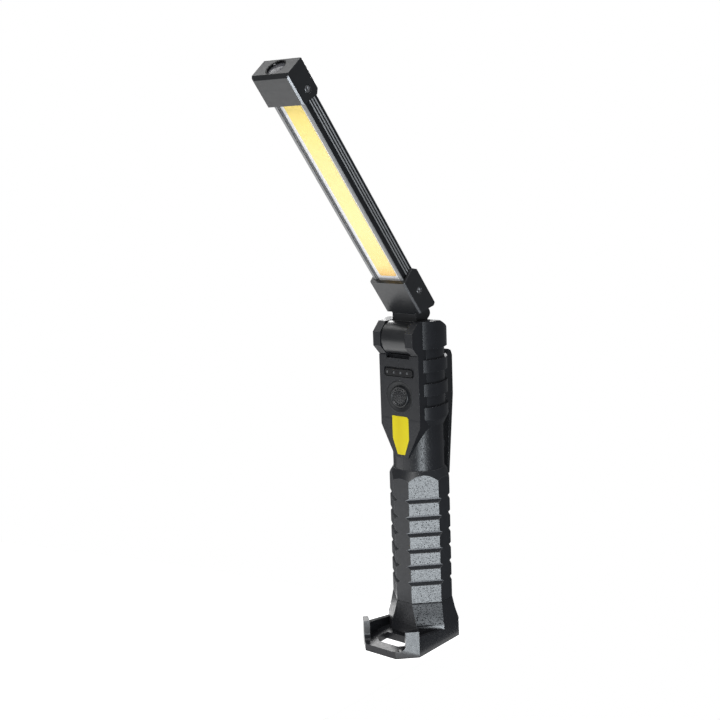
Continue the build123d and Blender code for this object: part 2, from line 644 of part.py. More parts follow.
def hinge_arm():
    """Knuckle: a barrel on the axle, an arm behind it and a tongue that enters the lower cap."""
    barrel = rod_x(-BARREL_HALF, BARREL_HALF, 0, 0, BARREL_R)
    arm = [(2.0, -0.7), (2.0, 7.0), (8.0, 6.85), (11.1, 10.4), (11.1, 11.5), (12.2, 11.5),
           (23.5, 5.85), (23.5, 2.0), (22.6, 0.1), (20.8, -0.7)]
    tongue = block(-7.0, 7.0, 14.2, 22.9, 3.0, 23.0)
    knuckle = barrel + plate_x(arm, -BARREL_HALF, BARREL_HALF) + tongue
    knuckle -= rod_x(-20, 20, 0, 0, AXLE_R + RUNNING)
    for x in ARM_SCREW_X:
        knuckle -= rod_y(15.0, 25.0, x, ARM_SCREW_S, SCREW_R + 0.02)
    return in_head(knuckle)


ARM_SCREW_X = (-4.0, 4.0)
ARM_SCREW_S = 18.5


def arm_screws():
    """Screws through the lower cap's back into the knuckle's tongue."""
    screws = []
    for x in ARM_SCREW_X:
        head = rod_y(CAP_T1 - 1.5, CAP_T1 - 0.2, x, ARM_SCREW_S, HEAD_R)
        head -= rod_y(CAP_T1 - 0.9, CAP_T1, x, ARM_SCREW_S, 0.9)
        screws.append(head + rod_y(16.0, CAP_T1 - 1.5, x, ARM_SCREW_S, SCREW_R))
    return in_head(solids(*screws))


SIDE_SCREWS = (23.7, 179.4)


def cap_blank(profile):
    """A cap's outer shape with bevelled long edges."""
    cap = plate_x(profile, -CAP_HALF, CAP_HALF)
    bevel = 1.0
    for side in (-1, 1):
        for t, direction in ((CAP_T0, 1), (CAP_T1, -1)):
            points = [(side * CAP_HALF, t), (side * (CAP_HALF - bevel), t),
                      (side * CAP_HALF, t + direction * bevel)]
            cap -= plate_z(points, -5, 220)
    return cap


def side_screw_holes():
    """Holes and head recesses for the caps' side screws."""
    holes = rod_x(-20, 20, 19.9, SIDE_SCREWS[0], SCREW_R + 0.2)
    holes += rod_x(-20, 20, 19.9, SIDE_SCREWS[1], SCREW_R + 0.2)
    for s in SIDE_SCREWS:
        holes += rod_x(-20, -CAP_HALF + 1.0, 19.9, s, HEAD_R + 0.2)
        holes += rod_x(CAP_HALF - 1.0, 20, 19.9, s, HEAD_R + 0.2)
    return holes


def lower_cap():
    """Cap at the hinge end of the bar."""
    profile = [(CAP_T0, 11.6), (12.2, 11.6), (24.6, 5.4), (26.6, 6.2), (CAP_T1, 8.6),
               (CAP_T1, 34.6), (23.6, 39.3), (CAP_T0, 37.6)]
    cap = cap_blank(profile)
    cap -= block(-BAR_HALF - 0.1, BAR_HALF + 0.1, BAR_T0 - 0.1, BAR_T1 + 0.1, 14.6, 60)
    cap -= block(-7.1, 7.1, 14.1, 23.0, 0, 20)
    cap -= side_screw_holes()
    for x in ARM_SCREW_X:
        cap -= rod_y(20, 30, x, ARM_SCREW_S, SCREW_R + 0.2)
        cap -= rod_y(CAP_T1 - 1.5, 30, x, ARM_SCREW_S, HEAD_R + 0.2)
    return in_head(cap)


def upper_cap():
    """Cap at the tip of the bar, with the torch's mouth."""
    profile = [(CAP_T0, 175.2), (24.0, 172.6), (CAP_T1, 175.6), (CAP_T1, TIP_S - 1.2), (26.4, TIP_S),
               (13.0, TIP_S), (CAP_T0, TIP_S - 2.2)]
    cap = cap_blank(profile)
    cap -= block(-BAR_HALF - 0.1, BAR_HALF + 0.1, BAR_T0 - 0.1, BAR_T1 + 0.1, 100, 186.0)
    cap -= post(0, TORCH_T, 170, 200, TORCH_R + 0.05)
    cap -= side_screw_holes()
    return in_head(cap)


def cap_screws():
    """Side screws that hold both caps on the bar."""
    screws = []
    for s in SIDE_SCREWS:
        for side in (-1, 1):
            head = rod_x(CAP_HALF - 1.0, CAP_HALF - 0.1, 19.9, s, HEAD_R)
            head -= rod_x(CAP_HALF - 0.7, CAP_HALF, 19.9, s, 0.9)
            screw = head + rod_x(8.8, CAP_HALF - 1.0, 19.9, s, SCREW_R)
            screws.append(screw if side > 0 else mirror(screw, Plane.YZ))
    return in_head(solids(*screws))


def bar_section():
    """Half section of the light bar, as (x, t) points from the front rail round to the back."""
    rail_edge = 0.5
    root = BAR_HALF - FIN_DEPTH
    points = [(9.4, BAR_T0), (BAR_HALF - rail_edge, BAR_T0), (BAR_HALF, BAR_T0 + rail_edge),
              (BAR_HALF, FIN_TS[0] - 3.4), (root, FIN_TS[0] - 3.2)]
    for t in FIN_TS:
        points += [(root, t), (BAR_HALF - FIN_EDGE, t), (BAR_HALF, t + FIN_EDGE),
                   (BAR_HALF, t + FIN_T), (root, t + FIN_T)]
    points += [(root, BAR_T1 - 1.2), (BAR_HALF, BAR_T1 - 1.0), (BAR_HALF, BAR_T1 - 0.6),
               (BAR_HALF - 0.6, BAR_T1)]
    return points


def light_bar():
    """Extruded body of the bar: rails in front, fins on both sides, a wire channel inside."""
    right = bar_section()
    left = [(-x, t) for x, t in reversed(right)]
    outline = right + left + [(-9.4, 16.9), (9.4, 16.9)]
    bar = plate_z(outline, BAR_S0, BAR_S1)
    bar -= block(-7.4, 7.4, 18.4, 23.9, 0, 200)
    bar -= block(-7.3, 7.3, 10, 30, 0, 23.4)
    bar -= post(0, TORCH_T, 177.0, 200, TORCH_R + 0.25)
    bar -= block(-TORCH_R - 0.25, TORCH_R + 0.25, TORCH_T, 30, 177.0, 200)
    bar -= block(-TORCH_R - 0.25, TORCH_R + 0.25, 10, TORCH_T, 177.0, 200)
    bar -= rod_x(-20, 20, 19.9, SIDE_SCREWS[0], SCREW_R + 0.02)
    bar -= rod_x(-20, 20, 19.9, SIDE_SCREWS[1], SCREW_R + 0.02)
    return in_head(bar)


def cob_board():
    """Metal-core board of the flood light."""
    return in_head(block(-9.3, 9.3, 15.85, 16.85, 24.0, 176.6))


def cob_phosphor():
    """Yellow light-emitting strip on its board."""
    strip = block(-6.4, 6.4, 15.45, 15.83, 39.9, 173.4)
    return in_head(fillet(strip.edges().filter_by(Axis.Y), 1.2))


def cob_lens():
    """Clear cover over the strip."""
    return in_head(block(-9.3, 9.3, 13.95, 15.0, 24.0, 176.6))


def torch_board():
    """Round board of the torch, with its heat slug."""
    return in_head(post(0, TORCH_T, 178.2, 179.8, TORCH_R - 0.1))


def torch_emitter():
    """Torch lamp: a square chip under a small dome."""
    chip = block(-1.75, 1.75, TORCH_T - 1.75, TORCH_T + 1.75, 179.85, 180.6)
    dome = Pos(0, TORCH_T, 180.3) * Sphere(1.4)
    return in_head(chip + (dome & block(-2, 2, TORCH_T - 2, TORCH_T + 2, 180.5, 183)))


def torch_reflector():
    """Bright cup round the torch lamp."""
    low = 180.9
    cup = post(0, TORCH_T, low - 1.0, TORCH_LENS_S - 0.1, TORCH_R - 0.05)
    cup -= Pos(0, TORCH_T, (low + TORCH_LENS_S) / 2) * Cone(2.9, TORCH_R - 0.7, TORCH_LENS_S - low)
    cup -= post(0, TORCH_T, 179, 182, 2.9)
    return in_head(cup)


def torch_lens():
    """Clear lens in the torch's mouth, slightly domed."""
    disc = post(0, TORCH_T, TORCH_LENS_S, TORCH_LENS_S + 2.4, TORCH_R)
    dome_r = 18.0
    dome = Pos(0, TORCH_T, TORCH_LENS_S + 2.3 - dome_r) * Sphere(dome_r)
    return in_head(disc & dome)


# ---------------------------------------------------------------- export
def main():
    """Builds every piece and writes one file for each."""
    left_shell, right_shell = handle_shells()
    pieces = {
        "left_shell": left_shell,
        "right_shell": right_shell,
        "shell_screws": shell_screws(),
        "grip_sleeve": grip_sleeve(),
        "foot_cradle": foot_cradle(),
        "foot_screws": foot_screws(),
        "base_cover": base_cover(),
        "base_cover_screws": base_cover_screws(),
        "base_magnet": post(0, -3.0, 2.1, 6.3, 9.5),
        "charge_board": charge_board(),
        "charge_port": charge_port(),
        "port_cover": port_cover(),
        "main_board": main_board(),
        "board_parts": board_parts(),
        "switch_body": switch_body(),
        "switch_plunger": switch_plunger(),
        "power_button": power_button(),
        "button_bezel": button_bezel(),
        "indicator_window": indicator_window(),
        "charge_leds": charge_leds(),
        "label_plate": label_outline(0, FACE_Y - 0.1, FACE_Y + 0.18),
        "battery_cell": battery_cell(),
        "battery_contact": battery_contact(),
        "battery_spring": battery_spring(),
        "clip_base": clip_base(),
        "clip_base_screws": clip_base_screws(),
        "clip_arm": clip_arm(),
        "clip_pin": clip_pin(),
        "clip_spring": clip_spring(),
        "hinge_axle": hinge_axle(),
        "hinge_washers": hinge_washers(),
        "hinge_arm": hinge_arm(),
        "arm_screws": arm_screws(),
        "lower_cap": lower_cap(),
        "upper_cap": upper_cap(),
        "cap_screws": cap_screws(),
        "light_bar": light_bar(),
        "cob_board": cob_board(),
        "cob_phosphor": cob_phosphor(),
        "cob_lens": cob_lens(),
        "torch_board": torch_board(),
        "torch_emitter": torch_emitter(),
        "torch_reflector": torch_reflector(),
        "torch_lens": torch_lens(),
    }
    os.makedirs("parts", exist_ok=True)
    for name, shape in pieces.items():
        export_step(shape, f"parts/{name}.step")


main()
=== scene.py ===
"""Looks for the folding work light: rounded copies of its moulded parts, a knurled button,
cross-head screws, a seal round the torch, and a procedural finish for every piece.

Metres, +Z up, with the button face towards -Y.
"""
import json
import math

import bmesh
import bpy
from mathutils import Matrix, Quaternion, Vector


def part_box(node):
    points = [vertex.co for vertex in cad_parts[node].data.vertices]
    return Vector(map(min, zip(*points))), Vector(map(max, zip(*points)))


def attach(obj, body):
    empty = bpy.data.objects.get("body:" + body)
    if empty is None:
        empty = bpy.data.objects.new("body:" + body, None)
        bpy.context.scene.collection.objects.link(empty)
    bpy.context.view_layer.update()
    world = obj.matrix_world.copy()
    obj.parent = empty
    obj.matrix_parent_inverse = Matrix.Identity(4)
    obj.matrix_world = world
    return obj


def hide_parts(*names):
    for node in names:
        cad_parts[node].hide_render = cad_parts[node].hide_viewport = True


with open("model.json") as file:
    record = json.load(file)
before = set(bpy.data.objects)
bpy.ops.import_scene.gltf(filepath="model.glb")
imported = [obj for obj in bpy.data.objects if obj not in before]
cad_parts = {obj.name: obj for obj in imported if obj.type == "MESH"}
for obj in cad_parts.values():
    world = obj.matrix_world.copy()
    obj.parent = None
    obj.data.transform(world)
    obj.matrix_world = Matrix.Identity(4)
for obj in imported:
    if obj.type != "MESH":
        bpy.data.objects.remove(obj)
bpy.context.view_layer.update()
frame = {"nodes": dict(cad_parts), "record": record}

MM = 0.001
X, Y, Z = 0, 1, 2
UP = (0, 0, 1)
PLASTIC_IOR = 1.45
WELD = 1e-7
BODIES = frame["record"]["behaviour"]["bodies"]
BODY_OF = {node: body for body, nodes in BODIES.items() for node in nodes}
SLOT_OF = {part["node"]: part["material_slot"] for part in frame["record"]["subparts"]}
FOLD = next(j for j in frame["record"]["behaviour"]["joints"] if j["name"] == "bar_fold")
HINGE = Vector(FOLD["pos_m"])
TILT = -math.radians(FOLD["range_deg"][0])
HEAD_TURN = Matrix.Rotation(TILT, 4, "X")
HEAD = Matrix.Translation(HINGE) @ HEAD_TURN


# ---------------------------------------------------------------- materials
class Finish:
    """A Principled material and the few node recipes that the finishes share."""

    def __init__(self, name, roughness=0.5, specular=0.5, metallic=0.0, coat=0.0):
        self.material = bpy.data.materials.new(name)
        self.material.use_nodes = True
        self.tree = self.material.node_tree
        self.shader = self.tree.nodes["Principled BSDF"]
        self.shader.inputs["Roughness"].default_value = roughness
        self.shader.inputs["Specular IOR Level"].default_value = specular
        self.shader.inputs["Metallic"].default_value = metallic
        self.shader.inputs["Coat Weight"].default_value = coat
        self.shader.inputs["Coat Roughness"].default_value = 0.12
        self.shader.inputs["IOR"].default_value = PLASTIC_IOR
        self.place = self.node("ShaderNodeTexCoord").outputs["Object"]
        self.heights = None

    def node(self, kind, **settings):
        made = self.tree.nodes.new(kind)
        for key, value in settings.items():
            setattr(made, key, value)
        return made

    def link(self, source, target):
        self.tree.links.new(source, target)

    def turned(self, angle):
        """Object coordinates, turned about X."""
        mapping = self.node("ShaderNodeMapping")
        mapping.inputs["Rotation"].default_value = (angle, 0, 0)
        self.link(self.place, mapping.inputs["Vector"])
        return mapping.outputs["Vector"]

    def noise(self, grain_mm, detail=3.0, rough=0.55, vector=None):
        """Noise whose blotches are about grain_mm wide."""
        noise = self.node("ShaderNodeTexNoise")
        noise.inputs["Scale"].default_value = 1.0 / (grain_mm * MM)
        noise.inputs["Detail"].default_value = detail
        noise.inputs["Roughness"].default_value = rough
        self.link(vector or self.place, noise.inputs["Vector"])
        return noise.outputs["Fac"]

    def pits(self, size_mm, share):
        """A level surface with small pits about size_mm apart."""
        cells = self.node("ShaderNodeTexVoronoi", feature="F1")
        cells.inputs["Scale"].default_value = 1.0 / (size_mm * MM)
        self.link(self.place, cells.inputs["Vector"])
        return self.spread(cells.outputs["Distance"], 0.0, 1.0, 0.0, share)

    def spread(self, value, low, high, start=0.0, end=1.0):
        """Maps a value from start..end to low..high."""
        spread = self.node("ShaderNodeMapRange")
        ends = {"From Min": start, "From Max": end, "To Min": low, "To Max": high}
        for socket, number in ends.items():
            spread.inputs[socket].default_value = number
        self.link(value, spread.inputs["Value"])
        return spread.outputs["Result"]

    def math(self, operation, first, second):
        """Arithmetic on a socket and a socket or number."""
        result = self.node("ShaderNodeMath", operation=operation)
        self.link(first, result.inputs[0])
        if isinstance(second, (int, float)):
            result.inputs[1].default_value = second
        else:
            self.link(second, result.inputs[1])
        return result.outputs[0]

    def between(self, axis, low_mm, high_mm, soft_mm):
        """1 where the object coordinate on an axis lies between two places, 0 elsewhere."""
        split = self.node("ShaderNodeSeparateXYZ")
        self.link(self.place, split.inputs["Vector"])
        value = split.outputs[axis]
        rise = self.spread(value, 0, 1, (low_mm - soft_mm) * MM, (low_mm + soft_mm) * MM)
        fall = self.spread(value, 1, 0, (high_mm - soft_mm) * MM, (high_mm + soft_mm) * MM)
        return self.math("MULTIPLY", rise, fall)

    def blend(self, factor, first, second):
        """Mixes two colours; each is a colour or a socket."""
        mix = self.node("ShaderNodeMix", data_type="RGBA")
        self.link(factor, mix.inputs["Factor"])
        for socket, colour in ((mix.inputs[6], first), (mix.inputs[7], second)):
            if isinstance(colour, tuple):
                socket.default_value = (*colour, 1.0)
            else:
                self.link(colour, socket)
        return mix.outputs[2]

    def colour(self, socket, name="Base Color"):
        self.link(socket, self.shader.inputs[name])

    def roughness(self, socket):
        self.link(socket, self.shader.inputs["Roughness"])

    def relief(self, height, depth_mm):
        """Adds a bump of the given depth on top of what is there."""
        bump = self.node("ShaderNodeBump")
        bump.inputs["Strength"].default_value = 1.0
        bump.inputs["Distance"].default_value = depth_mm * MM
        self.link(height, bump.inputs["Height"])
        if self.heights is not None:
            self.link(self.heights, bump.inputs["Normal"])
        self.heights = bump.outputs["Normal"]
        self.link(self.heights, self.shader.inputs["Normal"])


def moulded(name, dark, light, rough, grain_mm=0.35, depth_mm=0.02, specular=0.4):
    """Moulded plastic: slight mottling, uneven sheen and a fine spark texture."""
    finish = Finish(name, specular=specular)
    finish.colour(finish.blend(finish.noise(6.0), dark, light))
    finish.roughness(finish.spread(finish.noise(2.2), rough[0], rough[1], 0.3, 0.7))
    finish.relief(finish.noise(grain_mm, detail=2.0), depth_mm)
    return finish


def shell_plastic():
    """Handle shells: smooth bands, a matt button panel and a pitted neck below."""
    finish = Finish("shell_plastic", specular=0.5)
    finish.colour(finish.blend(finish.noise(7.0), (0.0075, 0.008, 0.0095), (0.013, 0.0135, 0.016)))
    neck = finish.between(Z, 100, 150.5, 0.6)
    panel = finish.between(Y, -30, -18.2, 0.1)
    smooth = finish.spread(finish.noise(2.0), 0.26, 0.34, 0.3, 0.7)
    neck_rough = finish.math("MULTIPLY", neck, 0.06)
    panel_rough = finish.math("MULTIPLY", panel, 0.16)
    finish.roughness(finish.math("ADD", finish.math("ADD", smooth, neck_rough), panel_rough))
    finish.relief(finish.noise(0.2, detail=2.0), 0.004)
    finish.relief(finish.math("MULTIPLY", finish.pits(1.1, 0.42), neck), 0.10)
    return finish.material


def highlight_edge(name, tone, rough=0.24):
    """Rounded edges and groove lips: painted highlight, much lighter than the faces to stand in for
    a bright reflected line.
    """
    finish = Finish(name, specular=0.8)
    finish.colour(finish.blend(finish.noise(1.6), tuple(c * 0.7 for c in tone), tone))
    finish.roughness(finish.spread(finish.noise(0.8), rough - 0.05, rough + 0.08, 0.3, 0.7))
    finish.relief(finish.noise(0.3), 0.004)
    return finish.material


def grip_rubber(name, specular, rough, pit_depth_mm):
    """Soft grip: leathery pits and a dusty sheen."""
    finish = Finish(name, specular=specular)
    finish.colour(finish.blend(finish.noise(3.0), (0.010, 0.0105, 0.012), (0.020, 0.021, 0.024)))
    finish.roughness(finish.spread(finish.noise(1.2), rough - 0.04, rough + 0.04, 0.3, 0.7))
    finish.relief(finish.noise(0.3, detail=1.0), 0.003)
    finish.relief(finish.pits(1.2, 0.34), pit_depth_mm)
    return finish.material


def foot_plastic(name, specular):
    """Foot: satin sides and a pitted flare."""
    finish = Finish(name, specular=specular)
    finish.colour(finish.blend(finish.noise(6.0), (0.009, 0.0095, 0.011), (0.017, 0.0175, 0.020)))
    flare_height = finish.between(Z, 12.8, 26.9, 0.5)
    behind_prongs = finish.between(Y, -27.0, 40.0, 0.5)
    flare = finish.math("MULTIPLY", flare_height, behind_prongs)
    finish.roughness(finish.spread(finish.noise(2.0), 0.26, 0.34, 0.3, 0.7))
    finish.relief(finish.noise(0.3, detail=1.0), 0.003)
    finish.relief(finish.math("MULTIPLY", finish.pits(1.1, 0.4), flare), 0.12)
    return finish.material


def cap_plastic():
    """Caps and knuckle: satin black with a fine even grain."""
    dark = (0.010, 0.0102, 0.011)
    light = (0.016, 0.0165, 0.018)
    return moulded("cap_plastic", dark, light, (0.3, 0.38), 0.3, 0.004, 0.6).material


def clip_plastic():
    """Belt clip: duller than the caps."""
    dark = (0.009, 0.0092, 0.010)
    light = (0.015, 0.0155, 0.017)
    return moulded("clip_plastic", dark, light, (0.34, 0.46), 0.2, 0.01).material


def anodised():
    """Black anodised extrusion with fine draw lines along it."""
    finish = Finish("anodised_bar", metallic=0.6, specular=0.5)
    upright = finish.node("ShaderNodeVectorRotate", rotation_type="X_AXIS")
    upright.inputs["Angle"].default_value = -TILT
    finish.link(finish.place, upright.inputs["Vector"])
    split = finish.node("ShaderNodeSeparateXYZ")
    finish.link(upright.outputs["Vector"], split.inputs["Vector"])
    stretched = finish.node("ShaderNodeCombineXYZ")
    finish.link(split.outputs[X], stretched.inputs[X])
    finish.link(split.outputs[Y], stretched.inputs[Y])
    finish.link(finish.math("MULTIPLY", split.outputs[Z], 0.02), stretched.inputs[Z])
    lines = finish.noise(0.25, detail=2.0, vector=stretched.outputs["Vector"])
    finish.colour(finish.blend(lines, (0.022, 0.023, 0.025), (0.045, 0.046, 0.049)))
    finish.roughness(finish.spread(lines, 0.3, 0.42, 0.3, 0.7))
    finish.relief(lines, 0.006)
    return finish.material


def bright_rail():
    """Grey on the bar's fins and rail fronts, lighter than the black anodising round it: a painted
    highlight on the fin crests and rail fronts.
    """
    finish = Finish("bright_rail", metallic=0.3, specular=0.6)
    finish.colour(finish.blend(finish.noise(9.0), (0.15, 0.15, 0.152), (0.22, 0.22, 0.222)))
    finish.roughness(finish.spread(finish.noise(6.0), 0.34, 0.42, 0.3, 0.7))
    finish.relief(finish.noise(3.0), 0.002)
    return finish.material


def phosphor():
    """Yellow silicone of the strip lamp, paler in its middle and faintly mottled, with painted
    shade in deep orange at its lower end.
    """
    finish = Finish("phosphor", roughness=0.55, specular=0.3)
    local = finish.turned(-TILT)
    split = finish.node("ShaderNodeSeparateXYZ")
    finish.link(local, split.inputs["Vector"])
    hinge_s = (HEAD_TURN.inverted() @ HINGE).z
    strip_start = hinge_s + 40 * MM
    strip_end = hinge_s + 173 * MM
    along = finish.spread(split.outputs[Z], 0.0, 1.0, strip_start, strip_end)
    fade = finish.node("ShaderNodeValToRGB")
    stops = fade.color_ramp.elements
    # painted shade: deep orange at the strip's lower end
    stops[0].color = (0.82, 0.45, 0.06, 1)
    stops[1].color = (0.97, 0.71, 0.09, 1)
    stops.new(0.07).color = (0.95, 0.70, 0.20, 1)
    stops.new(0.3).color = (0.95, 0.79, 0.30, 1)
    stops.new(0.7).color = (0.96, 0.76, 0.24, 1)
    finish.link(along, fade.inputs["Fac"])
    mottle = finish.spread(finish.noise(2.6), 0.0, 0.2, 0.35, 0.75)
    tone = finish.blend(mottle, fade.outputs["Color"], (0.90, 0.70, 0.22))
    finish.colour(tone)
    finish.colour(tone, "Emission Color")
    finish.shader.inputs["Emission Strength"].default_value = 0.02
    finish.relief(finish.noise(0.8), 0.012)
    return finish.material


def solder_mask():
    """White board around the strip lamp."""
    finish = Finish("solder_mask", specular=0.5)
    finish.colour(finish.blend(finish.noise(3.0), (0.78, 0.76, 0.76), (0.88, 0.86, 0.85)))
    finish.roughness(finish.spread(finish.noise(1.0), 0.35, 0.5, 0.3, 0.7))
    finish.relief(finish.noise(0.3), 0.01)
    return finish.material


def clear_cover():
    """Clear plastic of the strip's cover: a thin, faintly milky film."""
    finish = Finish("clear_cover", specular=0.5)
    finish.shader.inputs["Alpha"].default_value = 0.08
    finish.colour(finish.blend(finish.noise(4.0), (0.62, 0.62, 0.64), (0.72, 0.72, 0.74)))
    finish.roughness(finish.spread(finish.noise(2.0), 0.1, 0.16, 0.3, 0.7))
    finish.relief(finish.noise(6.0), 0.006)
    return finish.material


def clear_lens():
    """Polished torch lens over its dark cup."""
    finish = Finish("clear_lens", specular=0.5, coat=0.3)
    finish.shader.inputs["Alpha"].default_value = 0.6
    finish.colour(finish.blend(finish.noise(4.0), (0.075, 0.075, 0.085), (0.10, 0.10, 0.11)))
    finish.roughness(finish.spread(finish.noise(2.0), 0.1, 0.14, 0.3, 0.7))
    finish.relief(finish.noise(3.0), 0.004)
    return finish.material


def label_print():
    """Satin yellow label, warmer to one side."""
    finish = Finish("label_print", specular=0.3)
    warm = finish.between(X, -3.6, 1.2, 2.4)
    tone = finish.blend(finish.noise(2.0), (0.54, 0.43, 0.002), (0.49, 0.42, 0.003))
    tone = finish.blend(finish.math("MULTIPLY", warm, 0.5), tone, (0.44, 0.335, 0.002))
    finish.colour(tone)
    finish.roughness(finish.spread(finish.noise(1.5), 0.28, 0.4, 0.3, 0.7))
    finish.relief(finish.noise(0.5), 0.01)
    return finish.material


def steel(name, tone, rough):
    """Plated or blackened steel with fine turning marks."""
    finish = Finish(name, metallic=1.0)
    finish.colour(finish.blend(finish.noise(0.8), tuple(c * 0.75 for c in tone), tone))
    finish.roughness(finish.spread(finish.noise(0.5), rough - 0.06, rough + 0.1, 0.3, 0.7))
    finish.relief(finish.noise(0.25), 0.006)
    return finish.material


def button_rubber():
    """Soft black button."""
    dark = (0.008, 0.0085, 0.0095)
    light = (0.014, 0.0145, 0.016)
    return moulded("button_rubber", dark, light, (0.3, 0.4), 0.2, 0.01, 0.6).material


def circuit_board():
    """Green board with faint tracks."""
    finish = Finish("circuit_board", specular=0.5)
    tracks = finish.node("ShaderNodeTexBrick")
    tracks.inputs["Scale"].default_value = 260.0
    tracks.inputs["Mortar Size"].default_value = 0.03
    tracks.inputs["Color1"].default_value = (0.012, 0.09, 0.035, 1.0)
    tracks.inputs["Color2"].default_value = (0.01, 0.075, 0.03, 1.0)
    tracks.inputs["Mortar"].default_value = (0.04, 0.2, 0.08, 1.0)
    finish.link(finish.turned(math.radians(90)), tracks.inputs["Vector"])
    finish.colour(tracks.outputs["Color"])
    finish.roughness(finish.spread(finish.noise(1.0), 0.3, 0.45, 0.3, 0.7))
    finish.relief(tracks.outputs["Fac"], 0.02)
    return finish.material


def cell_sleeve():
    """Heat-shrink sleeve of the cell."""
    dark = (0.02, 0.09, 0.24)
    light = (0.03, 0.12, 0.30)
    return moulded("cell_sleeve", dark, light, (0.25, 0.38), 0.6, 0.01, 0.5).material


def plain(name, dark, light, rough=(0.4, 0.5)):
    """Small moulded pieces of one colour."""
    return moulded(name, dark, light, rough, 0.3, 0.01).material


def make_materials():
    """One material for each of the record's slots, and the edge finishes that carry painted
    highlights.
    """
    return {
        "shell_black": shell_plastic(),
        "grip_black": grip_rubber("grip_rubber", 0.4, 0.4, 0.02),
        "grip_pads": grip_rubber("grip_pads", 0.6, 0.3, 0.07),
        "foot_black": foot_plastic("foot_plastic", 0.3),
        "foot_corners": foot_plastic("foot_corners", 0.6),
        "cap_black": cap_plastic(),
        "clip_black": clip_plastic(),
        "bar_anodised": anodised(),
        "lens_clear": clear_lens(),
        "cover_clear": clear_cover(),
        "phosphor_yellow": phosphor(),
        "board_white": solder_mask(),
        "label_yellow": label_print(),
        "button_rubber": button_rubber(),
        "bezel_gloss": plain("bezel_gloss", (0.008, 0.0085, 0.009),
                             (0.013, 0.0135, 0.015), (0.5, 0.56)),
        "window_smoked": plain("window_smoked", (0.007, 0.007, 0.0075),
                               (0.010, 0.010, 0.011), (0.3, 0.36)),
        "steel": steel("plated_steel", (0.62, 0.62, 0.64), 0.28),
        "screw_black": steel("black_screw", (0.42, 0.42, 0.43), 0.36),
        "board_green": circuit_board(),
        "part_dark": plain("part_dark", (0.012, 0.012, 0.013), (0.02, 0.02, 0.022)),
        "led_white": plain("led_white", (0.62, 0.60, 0.50), (0.75, 0.73, 0.62)),
        "cell_wrap": cell_sleeve(),
        "reflector_chrome": steel("mirror_cup", (0.36, 0.36, 0.37), 0.36),
        "flap_rubber": plain("flap_rubber", (0.010, 0.0102, 0.011),
                             (0.016, 0.0165, 0.018), (0.5, 0.6)),
        # painted highlights: the light edge tones below stand in for bright lines on rounded edges
        # and groove lips
        "shell_edge": highlight_edge("shell_edge", (0.18, 0.185, 0.195)),
        "grip_edge": highlight_edge("grip_edge", (0.04, 0.041, 0.045), 0.4),
        # painted highlight: a light tone on the upper walls of the grip's grooves
        "grip_lip": highlight_edge("grip_lip", (0.34, 0.345, 0.36), 0.4),
        "cap_edge": highlight_edge("cap_edge", (0.07, 0.072, 0.076), 0.26),
        # painted highlight: a light metallic tone on the caps' long 45 degree bevels
        "cap_bevel_highlight": steel("cap_bevel_highlight", (0.34, 0.34, 0.35), 0.3),
        # painted highlight: lighter grey on the bar's fin crests and rail fronts
        "bar_edge": bright_rail(),
        "seal_rubber": plain("seal_rubber", (0.006, 0.006, 0.0065),
                             (0.010, 0.010, 0.011), (0.45, 0.55)),
        "dot_grey": plain("dot_grey", (0.06, 0.062, 0.065),
                          (0.10, 0.102, 0.106), (0.35, 0.45)),
    }


# ---------------------------------------------------------------- mesh helpers
def finish_piece(name, bm, materials, body, replaced=()):
    """Turns a bmesh into a piece that rides on a body."""
    mesh = bpy.data.meshes.new(name)
    bm.to_mesh(mesh)
    bm.free()
    piece = bpy.data.objects.new(name, mesh)
    bpy.context.scene.collection.objects.link(piece)
    for material in materials:
        mesh.materials.append(MATERIALS[material])
    mesh.shade_smooth()
    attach(piece, body)
    if replaced:
        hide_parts(*replaced)
    return piece


def is_corner(face):
    """True for the faces that cut the handle's corners."""
    return abs(face.normal.x) > 0.5 and abs(face.normal.y) > 0.5


def grip_zone(face):
    """0 for the grip's flats, 1 for its corner pads and 2 for the upper walls of the grooves, which
    get a painted highlight.
    """
    if face.normal.z < -0.35 and face.calc_center_median().z > 0.04:
        return 2
    return int(is_corner(face))


def is_low_corner(face):
    """True for the upright corner faces of the foot's rim."""
    return is_corner(face) and abs(face.normal.z) < 0.1


def is_bright_rail(face):
    """True for the outer faces of the light bar's fins and for the fronts of its rails, which get
    the painted highlight.
    """
    to_head = HEAD.inverted()
    normal = to_head.to_3x3() @ face.normal
    middle = to_head @ face.calc_center_median()
    crest = abs(normal.x) > 0.6 and abs(middle.x) > 11.4 * MM and middle.y > 17.0 * MM
    rail = normal.y < -0.6 and abs(middle.x) > 9.2 * MM and middle.y < 14.3 * MM
    return crest or rail


def is_long_bevel(face):
    """True for the 45 degree faces along the light bar's caps, which get a painted highlight."""
    normal = HEAD_TURN.to_3x3().inverted() @ face.normal
    return abs(normal.x) > 0.6 and abs(normal.y) > 0.6


